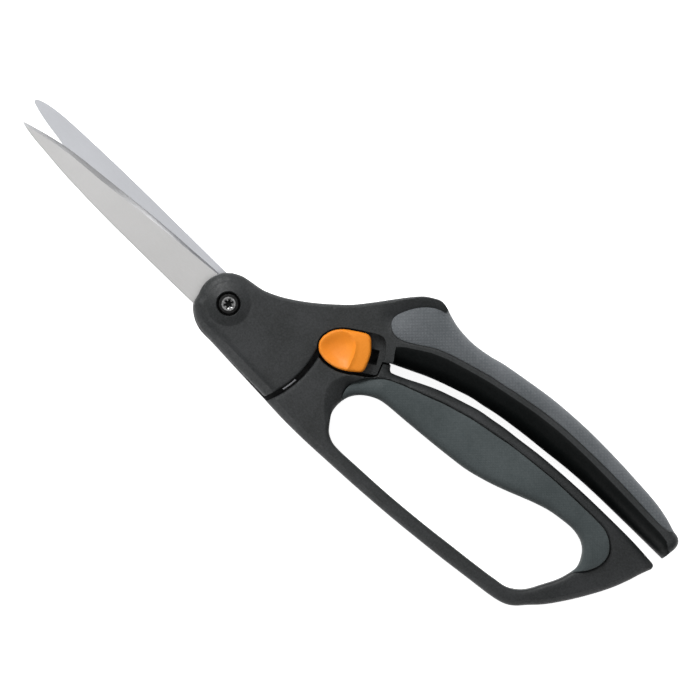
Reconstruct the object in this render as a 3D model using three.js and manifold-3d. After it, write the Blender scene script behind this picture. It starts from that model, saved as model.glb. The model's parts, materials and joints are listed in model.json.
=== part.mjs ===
// Grass shears: two hand-long handles and two blades that turn on one pivot screw.
// Everything is drawn in the pivot's frame, in millimetres: the origin is on the pivot axis
// between the blades, +X runs from the blade tips towards the tail of the handles, +Y towards
// the palm handle and +Z towards the screw head. The group is then moved so that its origin
// is the middle of the box that the shears fill, on the surface they lie on.
//
// palm half: palm handle, palm grip, front blade, lock. It is the upper half at the pivot (+Z).
// loop half: loop handle, loop grip, back blade, pivot hardware. It is the lower half (-Z).

import * as THREE from "three";
import { mergeVertices } from "three/addons/utils/BufferGeometryUtils.js";
import Module from "manifold-3d";

const wasm = await Module();
wasm.setup();

// ---- driving dimensions -------------------------------------------------------------------

const HALF_THICKNESS = 9.5;
const GRIP_HALF_THICKNESS = 9.4;
const HANDLE_BEVEL = 1;
const BEVEL_SPACING = 1.2;
const GRIP_CORE = 6.9;
const FIT = 0.3;

const BLADE_THICKNESS = 2;
const BLADE_GAP = 0.05;
const HEAD_GAP = 0.4;
const HEAD_RADIUS = 33;
const PLATE_RADIUS = 34.7;
const TONGUE_RADIUS = 54.7;
const EAR_RADIUS = 55.2;

const SHANK_RADIUS = 2.2;
const RUNNING_GAP = 0.05;
const BUSH_RADIUS = 3;
const BUSH_HALF_LENGTH = 4;
const WASHER_RADIUS = 3.9;
const WASHER_THICKNESS = 0.8;
const SCREW_HEAD_RADIUS = 3.6;
const SCREW_HEAD_HEIGHT = 4.4;
const SCREW_END = -7.7;
const TORX_RADIUS = 1.8;
const TORX_DEPTH = 1.5;
const COUNTERBORE_RADIUS = 4.05;
const BOSS_RADIUS = 7.4;
const BOSS_TOP_RADIUS = 4.6;
const BOSS_HEIGHT = 0.9;
const DISH_RADIUS = 7.4;
const DISH_DEPTH = 1.9;
const NUT_FLATS = 7.8;
const NUT_HEIGHT = 3.2;

const SPRING_WIRE = 1.2;
const SPRING_RADIUS = 6.4;
const SPRING_PITCH = 1.35;
const SPRING_TURNS = 2;
const SPRING_START = 3.1;
const SPRING_LEG_ANGLE = 50;
const SPRING_ROOM_INNER = 4.9;
const SPRING_ROOM_OUTER = 8.1;
const SPRING_ROOM_TOP = 6.6;
const OPENING_ANGLE = 24;

const LOCK_ANGLE = 30.5;
const LOCK_TRAVEL = 4.4;
const POCKET_FLOOR = 5;
const POCKET_GAP = 0.5;
const BUTTON_TOP = 10.8;
const ROOM_CEILING = 3.4;
const COVER_THICKNESS = 1.5;

const BLACK_PLASTIC = { color: 0x34383a, roughness: 0.55, metalness: 0 };
const PALM_RUBBER = { color: 0x5c6066, roughness: 0.85, metalness: 0 };
const LOOP_RUBBER = { color: 0x485050, roughness: 0.85, metalness: 0 };
const STEEL = { color: 0xc9c9c9, roughness: 0.3, metalness: 1 };
const DARK_STEEL = { color: 0x55585a, roughness: 0.4, metalness: 1 };
const ORANGE_PLASTIC = { color: 0xf7942a, roughness: 0.4, metalness: 0 };

// ---- outlines -----------------------------------------------------------------------------

const radians = THREE.MathUtils.degToRad;

// A smooth line through points, with a few steps from each point to the next.
function smooth(points, steps = 3) {
  const line = new THREE.CatmullRomCurve3(
    points.map(([x, y]) => new THREE.Vector3(x, y, 0)),
    false,
    "centripetal",
  );
  return line.getPoints(steps * (points.length - 1)).map((p) => [p.x, p.y]);
}

// An arc round the pivot, or round another centre. Angles are in degrees.
function arc(radius, from, to, steps = 10, centre = [0, 0]) {
  return Array.from({ length: steps + 1 }, (_, i) => {
    const a = radians(from + ((to - from) * i) / steps);
    return [centre[0] + radius * Math.cos(a), centre[1] + radius * Math.sin(a)];
  });
}

// A closed outline moved outwards by a distance, along the mean of each corner's two normals.
function grown(outline, distance) {
  const count = outline.length;
  const turn = Math.sign(THREE.ShapeUtils.area(outline.map(([x, y]) => ({ x, y }))));
  return outline.map((point, i) => {
    const before = outline[(i + count - 1) % count];
    const after = outline[(i + 1) % count];
    const inward = new THREE.Vector2(point[0] - before[0], point[1] - before[1]).normalize();
    const outward = new THREE.Vector2(after[0] - point[0], after[1] - point[1]).normalize();
    const along = inward.clone().add(outward).normalize();
    const stretch = turn * distance / Math.max(0.5, along.dot(outward));
    return [point[0] + along.y * stretch, point[1] - along.x * stretch];
  });
}

// The convex outline round a set of points, counter-clockwise.
function hull(points) {
  const sorted = [...points].sort((p, q) => p[0] - q[0] || p[1] - q[1]);
  const chain = (list) => {
    const made = [];
    for (const p of list) {
      while (made.length > 1) {
        const [a, b] = made.slice(-2);
        const cross = (b[0] - a[0]) * (p[1] - a[1]) - (b[1] - a[1]) * (p[0] - a[0]);
        if (cross > 0) break;
        made.pop();
      }
      made.push(p);
    }
    return made.slice(0, -1);
  };
  return [...chain(sorted), ...chain(sorted.reverse())];
}

// A closed outline without the points that lie closer than a distance to the one before.
function spaced(outline, least) {
  const apart = (p, q) => Math.hypot(p[0] - q[0], p[1] - q[1]) >= least;
  const kept = [outline[0]];
  for (const point of outline.slice(1)) {
    if (apart(point, kept[kept.length - 1])) kept.push(point);
  }
  return apart(kept[0], kept[kept.length - 1]) ? kept : kept.slice(0, -1);
}

const shifted = (outline, dx, dy) => outline.map(([x, y]) => [x + dx, y + dy]);
const mirrored = (outline) => outline.map(([x, y]) => [x, -y]).reverse();

// A point given along (u) and across (v) the lock's line of travel.
function onLock(u, v) {
  const a = radians(LOCK_ANGLE);
  return [u * Math.cos(a) - v * Math.sin(a), u * Math.sin(a) + v * Math.cos(a)];
}

function lockBox(u0, u1, v0, v1) {
  return [onLock(u0, v0), onLock(u1, v0), onLock(u1, v1), onLock(u0, v1)];
}

// ---- solids -------------------------------------------------------------------------------

// Turns a three.js geometry into a solid that can be joined and cut.
function solid(geometry) {
  const bare = geometry.clone();
  bare.deleteAttribute("normal");
  bare.deleteAttribute("uv");
  const merged = mergeVertices(bare, 1e-4);
  return new wasm.Manifold(
    new wasm.Mesh({
      numProp: 3,
      vertProperties: merged.attributes.position.array,
      triVerts: new Uint32Array(merged.index.array),
    }),
  );
}

// A flat plate of a closed outline between two heights, with an optional bevel and hole.
function plate(outline, low, high, bevel = 0, hole = null) {
  const least = bevel > 0 ? BEVEL_SPACING : 0;
  const corners = (line) => spaced(line, least).map(([x, y]) => new THREE.Vector2(x, y));
  const shape = new THREE.Shape(corners(outline));
  if (hole) shape.holes.push(new THREE.Path(corners(hole)));
  const made = new THREE.ExtrudeGeometry(shape, {
    depth: high - low - 2 * bevel,
    bevelEnabled: bevel > 0,
    bevelThickness: bevel,
    bevelSize: bevel,
    bevelOffset: -bevel,
    bevelSegments: 2,
    curveSegments: 1,
  });
  return solid(made.translate(0, 0, low + bevel));
}

// A body turned about the Z axis from a closed list of [radius, height].
function turned(profile, sides = 36, centre = [0, 0]) {
  const points = [...profile, profile[0]].map(([r, z]) => new THREE.Vector2(r, z));
  const made = new THREE.LatheGeometry(points, sides);
  return solid(made.rotateX(Math.PI / 2).translate(centre[0], centre[1], 0));
}

const disc = (radius, low, high, centre) =>
  turned([[0, low], [radius, low], [radius, high], [0, high]], 36, centre);

const ring = (inner, outer, low, high) =>
  turned([[inner, low], [outer, low], [outer, high], [inner, high]]);

function mesh(name, body, look) {
  const data = body.getMesh();
  const geometry = new THREE.BufferGeometry();
  geometry.setAttribute("position", new THREE.BufferAttribute(data.vertProperties, 3));
  geometry.setIndex(new THREE.BufferAttribute(data.triVerts, 1));
  const made = new THREE.Mesh(geometry, new THREE.MeshStandardMaterial(look));
  made.name = name;
  return made;
}

// ---- shared shapes ------------------------------------------------------------------------

const NOSE = arc(10.5, 140, 205, 8);

const FRONT_HEAD_TOP = smooth([
  [43, 44.7], [35, 34.4], [30, 28.4], [20, 19.7], [10, 13.3], [3, 10.9], [-2.9, 10],
]);

const GAP_TOP = smooth([
  [53.1, 23.1], [60, 26.2], [70, 30.2], [80, 33.3], [95, 35.8], [110, 37.4], [130, 38.7],
  [163.2, 38.5],
]);

const PALM_OUTER = smooth([
  [163.8, 45], [163, 46.5], [160, 47.7], [150, 50.4], [135, 51.9], [118, 52.5], [100, 51.8],
  [85, 49.8], [75, 47.7], [68, 46.8], [60, 47.4], [54, 49.2], [51.5, 49.8], [48, 48.7],
  [43, 44.7],
]);

const BUTTON = smooth([
  [30.2, 14.2], [30.8, 11.3], [32.9, 9.4], [36.2, 8.7], [40, 9.2], [43.1, 10.6], [46.7, 13.2],
  [47.8, 15.2], [47.1, 17.9], [45.6, 20.9], [43.3, 23.5], [41.2, 24.8], [40, 24.6],
  [36.5, 22.5], [33.1, 20], [31, 17.1], [30.2, 14.2],
], 2).slice(0, -1);

// The floor that carries the lock reaches between the two handles as a tongue.
const TONGUE = smooth([
  [32.9, 9.5], [36.2, 8.8], [40, 9.3], [43.1, 10.7], [46.7, 13.3], [50.8, 16],
]);

const FRONT_HEAD_FLOOR = smooth([
  [-9.5, -4.6], [-8.7, -7.7], [-5.5, -10.7], [-1.5, -12.4], [5, -12.9], [15, -13.5], [29.9, -14],
]);

// All that the palm handle covers, seen from the front.
const PALM_OUTLINE = [
  ...FRONT_HEAD_FLOOR,
  ...arc(HEAD_RADIUS, -24, 17.5, 14),
  ...TONGUE,
  ...arc(TONGUE_RADIUS, 18.4, 23.2, 3),
  ...GAP_TOP,
  ...PALM_OUTER,
  ...FRONT_HEAD_TOP.slice(1),
  ...NOSE,
];

const GAP_BOTTOM = smooth([
  [162, 35.2], [150, 36], [130, 36.2], [110, 35.3], [95, 33.7], [85, 32.1], [75, 29.2],
  [65, 25.3], [56, 21.2], [54.4, 20.9], [53.3, 22.3],
]);

const LOOP_OUTER = smooth([
  [31.5, -14.8], [50, -15.4], [70, -14.9], [100, -13], [130, -9.9], [136.5, -8.3], [141, -4],
  [150, 6.8], [158, 20.5], [161.6, 30], [162.6, 33.9],
]);

const NOTCH = smooth([
  [52.3, 16.6], [51, 14.9], [47.2, 12.2], [43.5, 9.7], [40.2, 8.3], [36.2, 7.8], [33.8, 8.2],
]);

// The loop handle outside the head, at full thickness.
const LOOP_OUTLINE = [
  ...LOOP_OUTER,
  ...GAP_BOTTOM,
  ...arc(EAR_RADIUS, 22.7, 18.2, 3),
  ...NOTCH,
  ...arc(PLATE_RADIUS, 13, -24.8, 12),
];

const BACK_HEAD = [
  ...smooth([
    [-9.5, -4.6], [-8.8, -7.9], [-5.6, -11], [-1.5, -12.8], [5, -13.2], [15, -13.8],
    [31.6, -14.8],
  ]),
  ...smooth([[36, -14.8], [36.4, -5], [34.6, 7.6]]),
  ...arc(HEAD_RADIUS, 13.5, 43, 10),
  ...smooth([[20, 19.2], [10, 13], [3, 10.6], [-2.9, 9.8]]),
  ...NOSE,
];

const OPENING_TOP = smooth([
  [49.6, 2.4], [50.3, 5], [52, 7.6], [54.5, 9.7], [57.6, 11.3], [70, 12.6], [90, 14.2],
  [100, 15.9], [115, 20.9], [125, 24.1], [134, 25.1], [140, 23.7], [144, 18.9], [144.5, 14.5],
]);

const OPENING_BOTTOM = smooth([
  [144.5, 14.5], [143, 10], [137.5, 0], [132, -4.2], [120, -5.9], [100, -7.9], [80, -9.3],
  [60, -9.8], [54, -8], [51.5, -5], [49.8, -1], [49.6, 2.4],
]);

const LOOP_GRIP_EDGE = smooth([
  [144.5, 14.5], [148, 18.9], [149.5, 22.4], [148.7, 28], [143, 32.1], [130, 32.6],
  [110, 31.8], [90, 29.1], [75, 25.5], [60, 20.2], [52.5, 15.8], [48.4, 10.3], [47.8, 7.1],
  [49.6, 2.4],
]);

const PALM_GRIP_EDGE = smooth([
  [54.5, 48.9], [50, 46.1], [45, 40.5], [42.9, 34.7], [45.5, 31], [50.8, 31.3], [60, 36.8],
  [75, 41.6], [90, 44.8], [105, 46.9], [120, 47.5], [140, 47], [155, 46.2], [159.8, 47.5],
]);

const PALM_GRIP = [
  ...PALM_GRIP_EDGE,
  ...PALM_OUTER.filter(([x, y]) => x < 159.5 && x > 54.7 && y > 40),
];

const LOOP_GRIP = [...OPENING_TOP.slice(0, -1), ...LOOP_GRIP_EDGE.slice(0, -1)];

// The spines of hard plastic that the two soft grips are wrapped round.
const PALM_CORE = [
  ...smooth([[57, 33.8], [70, 38.3], [85, 41.8], [100, 44.4], [120, 45.5], [153, 44.3]]),
  ...smooth([[153, 46.6], [135, 48.6], [118, 49.2], [100, 48.5], [80, 45.6], [70, 43.6], [58, 44.2]]),
];

const LOOP_CORE = [
  ...smooth([[59, 15.2], [80, 16.6], [100, 19.4], [115, 24.2], [130, 28.2], [139, 27.4]]),
  ...smooth([[141, 33.6], [120, 33.9], [100, 32.2], [80, 28.3], [70, 25.1], [57, 20.3]]),
];

const CUTTING_EDGE = smooth([
  [-92.2, -3.5], [-85, -1.6], [-77.5, 0], [-60, 1.9], [-40, 3.6], [-20, 4.6], [-8, 5.2],
]);

const FRONT_SPINE = smooth([
  [-8, -8], [-40, -7.8], [-60, -7.2], [-75, -6.1], [-88, -4.5], [-92.2, -3.5],
]);

const FRONT_BLADE = [
  ...CUTTING_EDGE,
  ...smooth([[0, 7.5], [9, 9.6], [20, 15.5], [30, 24.3], [37.5, 32.5]]),
  ...smooth([[40, 34], [42, 33.4], [43.5, 31], [37, 23], [24, 11], [12, 1], [2, -6.5]]),
  ...FRONT_SPINE.slice(0, -1),
];

const BACK_SPINE = smooth([
  [-93.7, 4.3], [-92.8, 5.3], [-90, 6.3], [-80, 7.3], [-60, 7.6], [-30, 7.3], [-8, 7],
]);

const BACK_BLADE = mirrored([
  ...smooth([
    [-93.5, -3.4], [-85, -1.5], [-77.5, -0.2], [-60, 1.7], [-40, 3.4], [-20, 4.5], [-8, 5.1],
  ]),
  ...smooth([[2, 8], [12, 9.2], [22, 8.8], [32, 8], [38, 8.4], [44.5, 8]]),
  ...smooth([[45.5, 7], [45.5, 3.4], [44.3, 2.2], [38, 2.2], [32, 2.8], [24, -0.6], [12, -6.2], [0, -7.6]]),
  ...mirrored(BACK_SPINE).slice(0, -1),
]);

// ---- palm half ----------------------------------------------------------------------------

// What the bush and the screw's washer need inside a head, on the +Z side.
function headRoom(counterbore) {
  return disc(BUSH_RADIUS + RUNNING_GAP, -1, BUSH_HALF_LENGTH + 1).add(counterbore);
}

function pivotBoss() {
  const top = HALF_THICKNESS + BOSS_HEIGHT;
  return turned([
    [0, HALF_THICKNESS - 1], [BOSS_RADIUS, HALF_THICKNESS - 1], [BOSS_RADIUS, HALF_THICKNESS],
    [BOSS_TOP_RADIUS, top], [0, top],
  ]);
}

function nutDish() {
  const floor = HALF_THICKNESS - DISH_DEPTH;
  return turned([
    [0, floor - FIT], [COUNTERBORE_RADIUS, floor - FIT], [COUNTERBORE_RADIUS, floor],
    [DISH_RADIUS, HALF_THICKNESS], [DISH_RADIUS, HALF_THICKNESS + 1], [0, HALF_THICKNESS + 1],
  ]);
}

const palmForm = () => plate(PALM_OUTLINE, -HALF_THICKNESS, HALF_THICKNESS, HANDLE_BEVEL);

function palmHandle() {
  const outsideHead = disc(PLATE_RADIUS, -20, HEAD_GAP);
  const lockPocket = plate(
    grown(hull([...BUTTON, ...shifted(BUTTON, ...onLock(LOCK_TRAVEL, 0))]), POCKET_GAP),
    POCKET_FLOOR,
    20,
  );
  const springLeg = plate(
    [[-5.2, SPRING_RADIUS - 1], [2, SPRING_RADIUS - 1], [2, SPRING_RADIUS + 1], [-5.2, SPRING_RADIUS + 1]],
    SPRING_START + SPRING_PITCH,
    SPRING_ROOM_TOP,
  );
  return palmForm()
    .subtract(outsideHead)
    .subtract(plate(grown(PALM_GRIP, FIT), -20, 20))
    .add(plate(PALM_CORE, -GRIP_CORE, GRIP_CORE))
    .subtract(plate(grown(FRONT_BLADE, FIT), -FIT, BLADE_THICKNESS + FIT))
    .add(pivotBoss())
    .subtract(headRoom(disc(COUNTERBORE_RADIUS, BUSH_HALF_LENGTH, HALF_THICKNESS + 2)))
    .subtract(ring(SPRING_ROOM_INNER, SPRING_ROOM_OUTER, 1, SPRING_ROOM_TOP))
    .subtract(springLeg)
    .subtract(lockPocket)
    .subtract(plate(lockBox(38.2, 52.6, -8.6, -3.6), 0, POCKET_FLOOR + 1))
    .subtract(plate(lockBox(37.2, 52.8, -10.3, -2.4), -20, ROOM_CEILING))
    .subtract(plate(lockBox(36.7, 53.2, -11, -1.8), -20, -HALF_THICKNESS + COVER_THICKNESS + FIT));
}

function palmGrip() {
  const core = plate(grown(PALM_CORE, FIT), -GRIP_CORE - FIT, GRIP_CORE + FIT);
  return palmForm()
    .intersect(plate(PALM_GRIP, -GRIP_HALF_THICKNESS, GRIP_HALF_THICKNESS))
    .subtract(core);
}

function frontBlade() {
  const slotStart = SPRING_LEG_ANGLE - OPENING_ANGLE - 2;
  const slotEnd = SPRING_LEG_ANGLE + 2;
  const slotHalf = SPRING_WIRE / 2 + FIT;
  const legSlot = [
    ...arc(SPRING_RADIUS - slotHalf, slotEnd + 6, slotStart - 6, 8),
    ...arc(SPRING_RADIUS + slotHalf, slotStart - 6, slotEnd + 6, 8),
  ];
  return plate(FRONT_BLADE, BLADE_GAP, BLADE_GAP + BLADE_THICKNESS)
    .subtract(disc(BUSH_RADIUS + RUNNING_GAP, -3, 3))
    .subtract(plate(legSlot, -3, 3));
}

// ---- lock ---------------------------------------------------------------------------------

const LOCK_SCREW_PLACE = onLock(42.2, -6.8);

function lockButton() {
  const thumbDish = solid(new THREE.SphereGeometry(16, 40, 24).translate(37.4, 14.6, BUTTON_TOP + 14.4));
  const stem = plate(lockBox(38.6, 45, -8.2, -5.4), 3.2, POCKET_FLOOR + 2);
  return plate(BUTTON, POCKET_FLOOR + FIT, BUTTON_TOP, 1.2)
    .subtract(thumbDish)
    .add(stem)
    .subtract(disc(1, 0, 8, LOCK_SCREW_PLACE));
}

function lockSlider() {
  const notch = (u) => plate([onLock(u - 1.2, -4), onLock(u + 1.2, -4), onLock(u, -5)], -3, 4);
  return plate(lockBox(37.6, 48, -9.9, -4.3), -0.5, 3.1)
    .subtract(notch(40.2))
    .subtract(notch(40.2 + LOCK_TRAVEL))
    .subtract(disc(1, -3, 5, LOCK_SCREW_PLACE));
}

function lockScrew() {
  return turned([[0, -2.1], [1.9, -2.1], [1.9, -0.6], [0.9, -0.6], [0.9, 7.4], [0, 7.4]], 20, LOCK_SCREW_PLACE);
}

function detentSpring() {
  const strip = smooth([
    [38, -3], [41, -3.2], [43.4, -3.3], [44.6, -3.9], [45.8, -3.3], [48, -3.2], [51.6, -3],
  ], 2);
  const back = strip.map(([u, v]) => [u, v + 0.4]).reverse();
  return plate([...strip, ...back].map(([u, v]) => onLock(u, v)), 0, 2.6);
}

function lockCover() {
  return plate(lockBox(37, 52.9, -10.7, -2.1), -HALF_THICKNESS, -HALF_THICKNESS + COVER_THICKNESS);
}

// ---- loop half ----------------------------------------------------------------------------

function hexagon(acrossFlats) {
  return arc(acrossFlats / Math.sqrt(3), 0, 300, 5);
}

function loopForm() {
  const opening = [...OPENING_BOTTOM.slice(0, -1), ...OPENING_TOP.slice(0, -1)];
  return plate(LOOP_OUTLINE, -HALF_THICKNESS, HALF_THICKNESS, HANDLE_BEVEL, opening);
}

function loopHandle() {
  const head = plate(BACK_HEAD, -HALF_THICKNESS, HALF_THICKNESS, HANDLE_BEVEL)
    .subtract(disc(60, -HEAD_GAP, 20));
  const nutPocket = plate(hexagon(NUT_FLATS + 2 * FIT), BUSH_HALF_LENGTH, HALF_THICKNESS);
  const flip = (body) => body.mirror([0, 0, 1]);
  return loopForm()
    .subtract(plate(grown(LOOP_GRIP, FIT), -20, 20))
    .add(plate(LOOP_CORE, -GRIP_CORE, GRIP_CORE))
    .add(head)
    .subtract(plate(grown(BACK_BLADE, FIT), -BLADE_THICKNESS - FIT, FIT))
    .subtract(flip(headRoom(nutPocket).add(nutDish())));
}

function loopGrip() {
  const core = plate(grown(LOOP_CORE, FIT), -GRIP_CORE - FIT, GRIP_CORE + FIT);
  return loopForm()
    .intersect(plate(LOOP_GRIP, -GRIP_HALF_THICKNESS, GRIP_HALF_THICKNESS))
    .subtract(core);
}

function backBlade() {
  const [legX, legY] = arc(SPRING_RADIUS, SPRING_LEG_ANGLE, SPRING_LEG_ANGLE, 1)[0];
  return plate(BACK_BLADE, -BLADE_GAP - BLADE_THICKNESS, -BLADE_GAP)
    .subtract(disc(BUSH_RADIUS + RUNNING_GAP, -3, 3))
    .subtract(disc(SPRING_WIRE / 2 + FIT, -3, 3, [legX, legY]));
}

// ---- pivot hardware -----------------------------------------------------------------------

const WASHER_LOW = BUSH_HALF_LENGTH + RUNNING_GAP;
const HEAD_LOW = WASHER_LOW + WASHER_THICKNESS + RUNNING_GAP;

function pivotScrew() {
  const top = HEAD_LOW + SCREW_HEAD_HEIGHT;
  const lobes = Array.from({ length: 36 }, (_, i) => {
    const a = (i * Math.PI) / 18;
    const r = TORX_RADIUS * (0.88 + 0.12 * Math.cos(6 * a));
    return [r * Math.cos(a), r * Math.sin(a)];
  });
  return turned([
    [0, SCREW_END], [SHANK_RADIUS, SCREW_END], [SHANK_RADIUS, HEAD_LOW],
    [SCREW_HEAD_RADIUS, HEAD_LOW], [SCREW_HEAD_RADIUS, top - 0.5], [SCREW_HEAD_RADIUS - 0.5, top],
    [0, top],
  ]).subtract(plate(lobes, top - TORX_DEPTH, top + 1));
}

function pivotNut() {
  const low = -BUSH_HALF_LENGTH - RUNNING_GAP - NUT_HEIGHT;
  return plate(hexagon(NUT_FLATS), low, low + NUT_HEIGHT)
    .subtract(disc(SHANK_RADIUS + RUNNING_GAP, low - 1, low + NUT_HEIGHT + 1));
}

const pivotBush = () =>
  ring(SHANK_RADIUS + RUNNING_GAP, BUSH_RADIUS, -BUSH_HALF_LENGTH, BUSH_HALF_LENGTH);

const springWasher = () =>
  ring(SHANK_RADIUS + 0.15, WASHER_RADIUS, WASHER_LOW, WASHER_LOW + WASHER_THICKNESS);

// A torsion spring round the pivot: one leg runs down into the back blade, the other lies in
// a slot of the palm handle's head.
function returnSpring() {
  const point = (degrees, z) => {
    const a = radians(degrees);
    return new THREE.Vector3(SPRING_RADIUS * Math.cos(a), SPRING_RADIUS * Math.sin(a), z);
  };
  const turnsDegrees = 360 * SPRING_TURNS + 40;
  const count = 18 * SPRING_TURNS;
  const path = [
    point(SPRING_LEG_ANGLE, -1.9),
    point(SPRING_LEG_ANGLE, 0),
    point(SPRING_LEG_ANGLE, 2.3),
  ];
  for (let i = 1; i <= count; i++) {
    const share = i / count;
    path.push(point(SPRING_LEG_ANGLE + share * turnsDegrees, SPRING_START + share * SPRING_PITCH * SPRING_TURNS));
  }
  path.push(new THREE.Vector3(-4.4, SPRING_RADIUS, SPRING_START + SPRING_PITCH * SPRING_TURNS));
  const section = new THREE.Shape(
    arc(SPRING_WIRE / 2, 0, 315, 7).map(([x, y]) => new THREE.Vector2(x, y)),
  );
  return solid(new THREE.ExtrudeGeometry(section, {
    steps: 70,
    bevelEnabled: false,
    extrudePath: new THREE.CatmullRomCurve3(path, false, "centripetal"),
  }));
}

// ---- the shears ---------------------------------------------------------------------------

const shears = new THREE.Group();

shears.add(
  mesh("loop_handle", loopHandle(), BLACK_PLASTIC),
  mesh("loop_grip", loopGrip(), LOOP_RUBBER),
  mesh("back_blade", backBlade(), STEEL),
  mesh("pivot_screw", pivotScrew(), STEEL),
  mesh("pivot_nut", pivotNut(), DARK_STEEL),
  mesh("pivot_bush", pivotBush(), DARK_STEEL),
  mesh("spring_washer", springWasher(), DARK_STEEL),
  mesh("return_spring", returnSpring(), DARK_STEEL),
  mesh("palm_handle", palmHandle(), BLACK_PLASTIC),
  mesh("palm_grip", palmGrip(), PALM_RUBBER),
  mesh("front_blade", frontBlade(), STEEL),
  mesh("lock_button", lockButton(), ORANGE_PLASTIC),
  mesh("lock_slider", lockSlider(), BLACK_PLASTIC),
  mesh("lock_screw", lockScrew(), STEEL),
  mesh("detent_spring", detentSpring(), STEEL),
  mesh("lock_cover", lockCover(), BLACK_PLASTIC),
);

const box = new THREE.Box3().setFromObject(shears);
const middle = box.getCenter(new THREE.Vector3());
shears.position.set(-middle.x, -middle.y, -box.min.z);

export default shears;
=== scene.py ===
"""Grass shears: the visual model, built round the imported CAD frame.

Plan outlines are in millimetres in the pivot's own frame: the origin is on the pivot axis between
the blades, +X runs towards the tail of the handles and +Y towards the palm handle. Heights are
measured from the plane between the blades. to_frame() turns them into the row's metres.
"""

import json
import math

import bmesh
import bpy
import numpy as np
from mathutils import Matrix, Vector, geometry


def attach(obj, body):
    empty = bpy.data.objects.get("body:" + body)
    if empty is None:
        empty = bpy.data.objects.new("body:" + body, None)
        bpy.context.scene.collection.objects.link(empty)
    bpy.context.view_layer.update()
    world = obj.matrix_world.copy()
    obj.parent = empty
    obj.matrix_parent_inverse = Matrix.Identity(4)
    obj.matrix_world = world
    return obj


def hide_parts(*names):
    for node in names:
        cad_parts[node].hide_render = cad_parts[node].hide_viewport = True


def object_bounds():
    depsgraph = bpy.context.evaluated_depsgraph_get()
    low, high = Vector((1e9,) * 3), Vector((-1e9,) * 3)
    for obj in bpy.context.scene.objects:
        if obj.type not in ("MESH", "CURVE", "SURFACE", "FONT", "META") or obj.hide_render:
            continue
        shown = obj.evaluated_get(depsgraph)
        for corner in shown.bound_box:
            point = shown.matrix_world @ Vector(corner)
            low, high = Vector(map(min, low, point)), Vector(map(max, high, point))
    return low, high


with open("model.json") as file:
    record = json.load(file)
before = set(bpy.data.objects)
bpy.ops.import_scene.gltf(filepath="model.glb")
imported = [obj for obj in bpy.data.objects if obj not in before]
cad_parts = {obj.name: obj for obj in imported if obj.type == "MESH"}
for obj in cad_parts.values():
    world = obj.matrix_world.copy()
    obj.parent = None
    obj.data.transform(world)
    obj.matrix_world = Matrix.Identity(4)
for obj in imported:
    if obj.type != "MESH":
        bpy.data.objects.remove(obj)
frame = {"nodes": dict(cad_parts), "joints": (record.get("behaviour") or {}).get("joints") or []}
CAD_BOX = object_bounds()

MM = 0.001
JOINTS = {joint["name"]: joint for joint in frame["joints"]}
PIVOT = np.array(JOINTS["blade_pivot"]["pos_m"])
SLIDE = np.array(JOINTS["lock_slide"]["axis"])[:2]
TRAVEL = JOINTS["lock_slide"]["range_m"][1] / MM

# ---- sizes in millimetres ----

LAND = 9.5  # the flat faces of both handles, above and below the blades' plane
GRIP_LAND = 9.4
HEAD_GAP = 0.4
BLADE_GAP = 0.05
BLADE = 2.0
POCKET_ROOF = BLADE_GAP + BLADE + 0.3
SPRING_ROOF = 6.6
COUNTERBORE = 4.05
COUNTERBORE_FLOOR = 4.0
BORE = 3.05
DISH = 7.4
DISH_DEPTH = 1.9
BOSS_TOP = 4.3
BOSS_HEIGHT = 1.15
HEAD_ARC = 33.0
PLATE_ARC = 34.7
TONGUE_ARC = 54.7
EAR_ARC = 55.2
POCKET_FLOOR = 5.0
ROOM_CEILING = 3.4
COVER_RECESS = 1.8
BUTTON_TOP = 10.75
SCREW_TOP = 9.3
NUT_ROOM = 4.8
SPRING_ROOM = (4.9, 8.1)  # inner and outer radius
TANG_LIT_LINE = (33.45, 33.9)  # radii of the line left in its steel colour on the tang; round it the tang is painted black as shade, so this line reads as a lit streak
BACK_ARC = 34.2
REBATE = 2.0
LIP = 1.5
LIP_TOP = -7.3
MARK_GAP = 0.15  # the least distance from a marked line to the outline

# ---- plan curves ----


def resampled(line, spacing):
    """The same line with points at equal steps of about that spacing."""
    line = np.asarray(line, float)
    step = np.hypot(*np.diff(line, axis=0).T)
    along = np.concatenate([[0], np.cumsum(step)])
    count = max(1, round(along[-1] / spacing))
    at = np.linspace(0, along[-1], count + 1)
    return np.column_stack([np.interp(at, along, line[:, k]) for k in (0, 1)])


def smooth(points, spacing=0.8):
    """A centripetal Catmull-Rom line through the points."""
    p = np.asarray(points, float)
    p = np.vstack([2 * p[0] - p[1], p, 2 * p[-1] - p[-2]])
    out = []
    for a, b, c, d in zip(p, p[1:], p[2:], p[3:]):
        t = np.cumsum([0] + [max(1e-6, math.dist(m, n)) ** 0.5 for m, n in ((a, b), (b, c), (c, d))])
        s = np.linspace(t[1], t[2], 16, endpoint=False)[:, None]
        ab = ((t[1] - s) * a + (s - t[0]) * b) / (t[1] - t[0])
        bc = ((t[2] - s) * b + (s - t[1]) * c) / (t[2] - t[1])
        cd = ((t[3] - s) * c + (s - t[2]) * d) / (t[3] - t[2])
        abc = ((t[2] - s) * ab + (s - t[0]) * bc) / (t[2] - t[0])
        bcd = ((t[3] - s) * bc + (s - t[1]) * cd) / (t[3] - t[1])
        out.append(((t[2] - s) * abc + (s - t[1]) * bcd) / (t[2] - t[1]))
    return resampled(np.vstack(out + [p[-2:-1]]), spacing)


def arc(radius, start, stop, spacing=0.8, centre=(0, 0)):
    """An arc in degrees round the pivot or another centre."""
    count = max(6, round(abs(math.radians(stop - start)) * radius / spacing))
    a = np.radians(np.linspace(start, stop, count + 1))
    return np.column_stack([centre[0] + radius * np.cos(a), centre[1] + radius * np.sin(a)])


def joined(*lines):
    """Lines end to end as one closed loop, without the points that fall on each other."""
    loop = np.vstack(lines)
    gap = np.hypot(*(loop - np.roll(loop, 1, axis=0)).T)
    return loop[gap > 0.12]


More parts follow.
